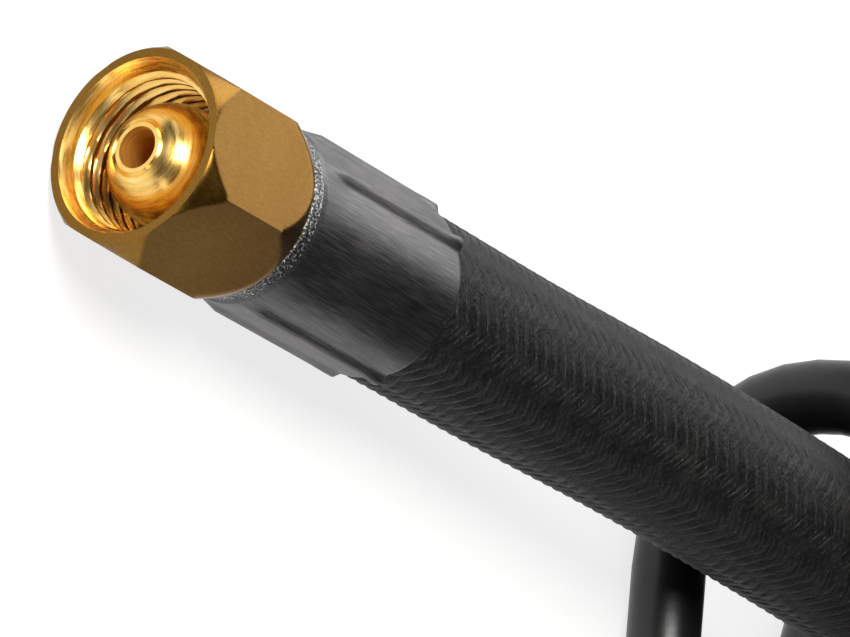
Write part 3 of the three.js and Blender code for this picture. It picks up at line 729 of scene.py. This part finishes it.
def gas_cup():
    profile = [(17.1, 6.6), (17.1, 9.2), (18.1, 9.6), (25.1, 9.6), (26.1, 9.0), (35.1, 8.4), (43.1, 7.5),
               (63.4, 7.3), (64.0, 6.9), (64.0, 5.7), (62, 5.6), (29.1, 5.6), (27.1, 6.6), (17.2, 6.6)]

    def ribs(x, angle, r):
        return r - 0.3 * band(x, r, RIBS_START, RIBS_END, 0.6, 9.3) * np.clip(np.cos(16 * angle), 0, 1)

    dense = cut(profile + profile[:1], lambda x, r, after: 8 if 17.9 < x < 25.2 and r > 9 else 3)
    cup = lathe("gas_cup_fired", dense, ALONG_CUP, 160, ribs, closed=True)
    return finish(cup, "gas_cup", "ceramic", "gas_cup")


def tungsten():
    profile = [(-78, 0.05), (-78, 1.1), (-77.8, TUNGSTEN_R), (67, TUNGSTEN_R), (72, 0.18), (72, 0.02)]
    rod = lathe("tungsten_ground", profile, ALONG_CUP, 48, edge=0.05)
    return finish(rod, "electrode", "tungsten", "tungsten_electrode")


def make_torch():
    soften("handle_upper_moulded", "handle_shell_upper", "root", "handle_plastic", 0.6)
    soften("handle_lower_moulded", "handle_shell_lower", "root", "handle_plastic", 0.6)
    soften("trigger_button_moulded", "trigger_button", "trigger", "red_plastic", 0.9)
    soften("rear_boot_moulded", "rear_boot", "root", "rubber", 0.7)
    soften("head_insulator_moulded", "torch_head_insulator", "root", "rubber", 0.8)
    gas_cup()
    back_cap()
    tungsten()


# ---- plug and ties ------------------------------------------------------------------------------------
RING_START, RING_END = 34, 66           # along X from PLUG
RING_R, RING_HOLE_R = 9.5, 8.4


def plug_ring():
    def knurl(x, angle, r):
        return r - 0.28 * band(x, r, RING_START + 3, RING_END - 6, 0.6, 9) * (0.5 + 0.5 * np.cos(36 * angle))

    profile = [(RING_START, RING_HOLE_R), (RING_START, 9.2), (RING_START + 1, RING_R)]
    profile += [(x, RING_R) for x in np.linspace(RING_START + 2, RING_END - 4, 40)]
    profile += [(RING_END - 1, RING_R), (RING_END, 9.2), (RING_END, RING_HOLE_R)]
    ring = lathe("plug_ring_knurled", profile, ALONG_PLUG, 216, knurl, closed=True)
    return finish(ring, "plug_ring", "nickel", "plug_coupling_ring")


def make_plug():
    pieces = [plug_ring()]
    for name, slot, width in (("plug_strain_relief", "rubber", 0.5), ("plug_shell", "nickel", 0.3),
                              ("plug_insert", "grey_plastic", 0.3)):
        pieces.append(soften(name + "_finished", name, "root", slot, width))
    return pieces


def make_ties():
    for name in sorted(frame["nodes"]):
        if "_tie_" in name:
            soften(name + "_webbing", name, "root", "tie_webbing", 0.35)


def dress_cad_nodes():
    """Every CAD piece that stays gets its slot's finished material."""
    slots = {row["node"]: row["material_slot"] for row in frame["record"]["subparts"]}
    for name, obj in frame["nodes"].items():
        obj.data.materials.clear()
        obj.data.materials.append(LOOKS[slots[name]].material)
        if not obj.hide_render:
            sharpen_normals(obj)


def sharpen_normals(obj, degrees=35):
    for face in obj.data.polygons:
        face.use_smooth = True
    obj.data.set_sharp_from_angle(angle=math.radians(degrees))


# ---- floor and light ----------------------------------------------------------------------------------
FLOOR_HALF = 9000
FLOOR_DARK, FLOOR_LIGHT = (0.23, 0.23, 0.23), (0.26, 0.26, 0.26)
FLOOR_GLOW = 0.78
ROOM_LIGHT = 0.06                       # how strongly the backdrop lights the object
BACKDROP_EXTRA = 0.84                   # how much lighter than that the camera sees it
FITTING_TARGET = (0.03, -0.2, 0.0)


def make_stage():
    corners = [(x * FLOOR_HALF, y * FLOOR_HALF, 0) for x, y in ((-1, -1), (1, -1), (1, 1), (-1, 1))]
    floor = mesh_object("floor", corners, [(0, 1, 2, 3)], smooth=False)
    look = Look("floor", rough=0.9)
    patches = look.noise(3, 2)
    look.colour(look.ramp(patches, [(0.3, FLOOR_DARK), (0.7, FLOOR_LIGHT)]))
    look.shader.inputs["Emission Color"].default_value = (1, 1, 1, 1)
    look.shader.inputs["Emission Strength"].default_value = FLOOR_GLOW
    floor.data.materials.append(look.material)


def soft_light(name, where, size, watts, colour=(1, 1, 1), target=FITTING_TARGET):
    data = bpy.data.lights.new(name, "AREA")
    data.shape = "RECTANGLE"
    data.size, data.size_y = size
    data.energy = watts
    data.color = colour
    light = bpy.data.objects.new(name, data)
    light.location = where
    light.rotation_euler = (Vector(target) - Vector(where)).to_track_quat("-Z", "Y").to_euler()
    bpy.context.scene.collection.objects.link(light)


def make_lights():
    world = bpy.data.worlds.new("studio")
    world.use_nodes = True
    world.node_tree.nodes["Background"].inputs["Color"].default_value = (1, 1, 1, 1)
    strength = world.node_tree.nodes.new("ShaderNodeMath")
    strength.operation = "MULTIPLY_ADD"
    strength.inputs[1].default_value = BACKDROP_EXTRA
    strength.inputs[2].default_value = ROOM_LIGHT
    seen = world.node_tree.nodes.new("ShaderNodeLightPath").outputs["Is Camera Ray"]
    world.node_tree.links.new(seen, strength.inputs[0])
    world.node_tree.links.new(strength.outputs[0], world.node_tree.nodes["Background"].inputs["Strength"])
    bpy.context.scene.world = world
    soft_light("key", (0.3, 1.0, 0.7), (2.0, 1.0), 24)
    soft_light("far_key", (0.95, 0.25, 0.7), (0.5, 0.5), 2)
    soft_light("rim", (-0.3, -1.1, 0.25), (1.0, 0.2), 1.4)
    soft_light("mouth", (-0.62, -0.08, 0.85), (0.5, 0.5), 13, (1.0, 0.97, 0.93), (-0.05, -0.22, 0.01))
    bpy.context.scene.view_settings.view_transform = "Standard"


# ---- build --------------------------------------------------------------------------------------------
make_camera()
LOOKS = make_looks()
hose, hose_line, hose_length, cable, cable_line, cable_length = make_cords()
finish(hose, "root", "hose_braid", "hose_tail", "hose_end_stretch", "hose_coil")
finish(cable, "root", "cable_jacket",
       "cable_tail", "cable_over_coil", "cable_wrap", "cable_to_plug", "cable_coil")

nut_piece, nipple_piece, ferrule_piece = union_nut(), ball_nipple(), crimp_ferrule()
make_torch()
plug_pieces = make_plug()
make_ties()
dress_cad_nodes()

make_stage()
make_lights()
